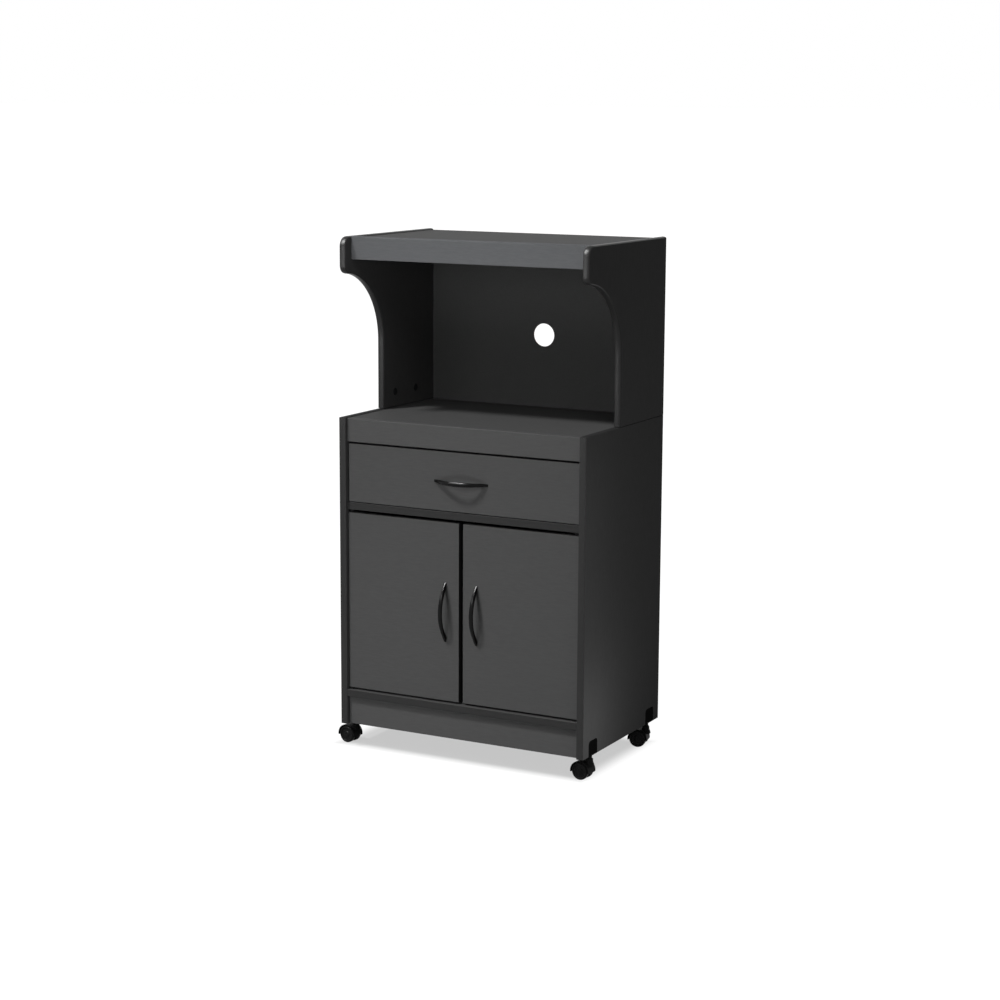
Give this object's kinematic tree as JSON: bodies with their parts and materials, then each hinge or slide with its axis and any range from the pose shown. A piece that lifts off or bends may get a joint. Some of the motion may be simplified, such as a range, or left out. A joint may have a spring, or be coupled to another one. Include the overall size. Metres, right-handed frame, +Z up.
{
  "type": "kitchen storage cabinet",
  "caption": "Rolling kitchen cabinet with a drawer, a pair of hinged doors over a shelf, and an open hutch above the worktop for a microwave oven.",
  "frame": {"origin": "on the floor under the middle of the footprint, casters included", "axes": "+X to the cabinet's right as its user sees it, +Y to the back, +Z up; the doors and the drawer face -Y"},
  "size_m": [0.6337, 0.4078, 1.1365],
  "materials": {
    "laminate_board": "matte dark charcoal melamine laminate on particle board",
    "drawer_board": "matte charcoal laminate on thin particle board",
    "hardboard": "matte charcoal paper foil on thin hardboard",
    "handle_plastic": "glossy black",
    "caster_plastic": "satin black",
    "wheel_nylon": "satin black nylon",
    "caster_steel": "zinc plated",
    "runner_steel": "pale epoxy coat on steel",
    "roller_nylon": "white nylon",
    "zinc": "die-cast zinc",
    "fixing_steel": "zinc plated steel",
    "hinge_steel": "black baked enamel on steel",
    "dowel_wood": "plain beech",
    "catch_plastic": "satin black"
  },
  "bodies": {
    "cabinet": {"left_side_panel": "laminate_board", "right_side_panel": "laminate_board", "worktop": "laminate_board", "front_apron": "laminate_board", "drawer_divider": "laminate_board", "bottom_shelf": "laminate_board", "plinth": "laminate_board", "inner_shelf": "laminate_board", "shelf_pins": "fixing_steel", "lower_back_panel": "hardboard", "hutch_left_panel": "laminate_board", "hutch_right_panel": "laminate_board", "hutch_top": "laminate_board", "hutch_fascia": "laminate_board", "hutch_back_panel": "hardboard", "caster_sockets": "caster_plastic", "cam_locks": "zinc", "cam_bolts": "fixing_steel", "wood_dowels": "dowel_wood", "panel_nails": "fixing_steel", "cabinet_runners": "runner_steel", "hinge_plates": "hinge_steel", "magnetic_catch": "catch_plastic", "carcass_screws": "fixing_steel"},
    "drawer": {"drawer_front": "laminate_board", "drawer_left_side": "drawer_board", "drawer_right_side": "drawer_board", "drawer_back": "drawer_board", "drawer_bottom": "hardboard", "drawer_runners": "runner_steel", "drawer_handle": "handle_plastic", "drawer_fixings": "fixing_steel"},
    "front_roller_pair": {"front_rollers": "roller_nylon"},
    "rear_roller_pair": {"rear_rollers": "roller_nylon"},
    "left_door_leaf": {"left_door": "laminate_board", "left_door_handle": "handle_plastic", "left_door_screws": "fixing_steel", "left_door_hinge_leaves": "hinge_steel", "left_door_strike_plate": "hinge_steel"},
    "right_door_leaf": {"right_door": "laminate_board", "right_door_handle": "handle_plastic", "right_door_screws": "fixing_steel", "right_door_hinge_leaves": "hinge_steel", "right_door_strike_plate": "hinge_steel"},
    "caster_front_left_swivel": {"caster_front_left_housing": "caster_plastic", "caster_front_left_stem": "caster_steel"},
    "caster_front_left_wheel_pair": {"caster_front_left_wheels": "wheel_nylon", "caster_front_left_axle": "caster_steel"},
    "caster_front_right_swivel": {"caster_front_right_housing": "caster_plastic", "caster_front_right_stem": "caster_steel"},
    "caster_front_right_wheel_pair": {"caster_front_right_wheels": "wheel_nylon", "caster_front_right_axle": "caster_steel"},
    "caster_rear_left_swivel": {"caster_rear_left_housing": "caster_plastic", "caster_rear_left_stem": "caster_steel"},
    "caster_rear_left_wheel_pair": {"caster_rear_left_wheels": "wheel_nylon", "caster_rear_left_axle": "caster_steel"},
    "caster_rear_right_swivel": {"caster_rear_right_housing": "caster_plastic", "caster_rear_right_stem": "caster_steel"},
    "caster_rear_right_wheel_pair": {"caster_rear_right_wheels": "wheel_nylon", "caster_rear_right_axle": "caster_steel"}
  },
  "joints": [
    {"name": "drawer_slide", "type": "slide", "parent": "cabinet", "child": "drawer", "axis": [0, -1, 0], "range_m": [0, 0.25]},
    {"name": "left_door_hinge", "type": "hinge", "parent": "cabinet", "child": "left_door_leaf", "pos_m": [-0.2585, -0.172, 0.337], "axis": [0, 0, -1], "range_deg": [0, 105]},
    {"name": "right_door_hinge", "type": "hinge", "parent": "cabinet", "child": "right_door_leaf", "pos_m": [0.2905, -0.172, 0.337], "axis": [0, 0, 1], "range_deg": [0, 105]},
    {"name": "front_roller_spin", "type": "hinge", "parent": "cabinet", "child": "front_roller_pair", "pos_m": [0.016, -0.146, 0.5735], "axis": [1, 0, 0], "continuous": true},
    {"name": "rear_roller_spin", "type": "hinge", "parent": "drawer", "child": "rear_roller_pair", "pos_m": [0.016, 0.161, 0.5748], "axis": [1, 0, 0], "continuous": true},
    {"name": "caster_front_left_swivel_turn", "type": "hinge", "parent": "cabinet", "child": "caster_front_left_swivel", "pos_m": [-0.276, -0.136, 0.07], "axis": [0, 0, 1], "continuous": true},
    {"name": "caster_front_left_wheel_spin", "type": "hinge", "parent": "caster_front_left_swivel", "child": "caster_front_left_wheel_pair", "pos_m": [-0.29184, -0.13377, 0.019], "axis": [0.1392, 0.9903, 0], "continuous": true},
    {"name": "caster_front_right_swivel_turn", "type": "hinge", "parent": "cabinet", "child": "caster_front_right_swivel", "pos_m": [0.308, -0.136, 0.07], "axis": [0, 0, 1], "continuous": true},
    {"name": "caster_front_right_wheel_spin", "type": "hinge", "parent": "caster_front_right_swivel", "child": "caster_front_right_wheel_pair", "pos_m": [0.29204, -0.13488, 0.019], "axis": [0.0698, 0.9976, 0], "continuous": true},
    {"name": "caster_rear_left_swivel_turn", "type": "hinge", "parent": "cabinet", "child": "caster_rear_left_swivel", "pos_m": [-0.276, 0.153, 0.07], "axis": [0, 0, 1], "continuous": true},
    {"name": "caster_rear_left_wheel_spin", "type": "hinge", "parent": "caster_rear_left_swivel", "child": "caster_rear_left_wheel_pair", "pos_m": [-0.29196, 0.15188, 0.019], "axis": [-0.0698, 0.9976, 0], "continuous": true},
    {"name": "caster_rear_right_swivel_turn", "type": "hinge", "parent": "cabinet", "child": "caster_rear_right_swivel", "pos_m": [0.308, 0.153, 0.07], "axis": [0, 0, 1], "continuous": true},
    {"name": "caster_rear_right_wheel_spin", "type": "hinge", "parent": "caster_rear_right_swivel", "child": "caster_rear_right_wheel_pair", "pos_m": [0.29235, 0.14967, 0.019], "axis": [-0.2079, 0.9781, 0], "continuous": true}
  ]
}
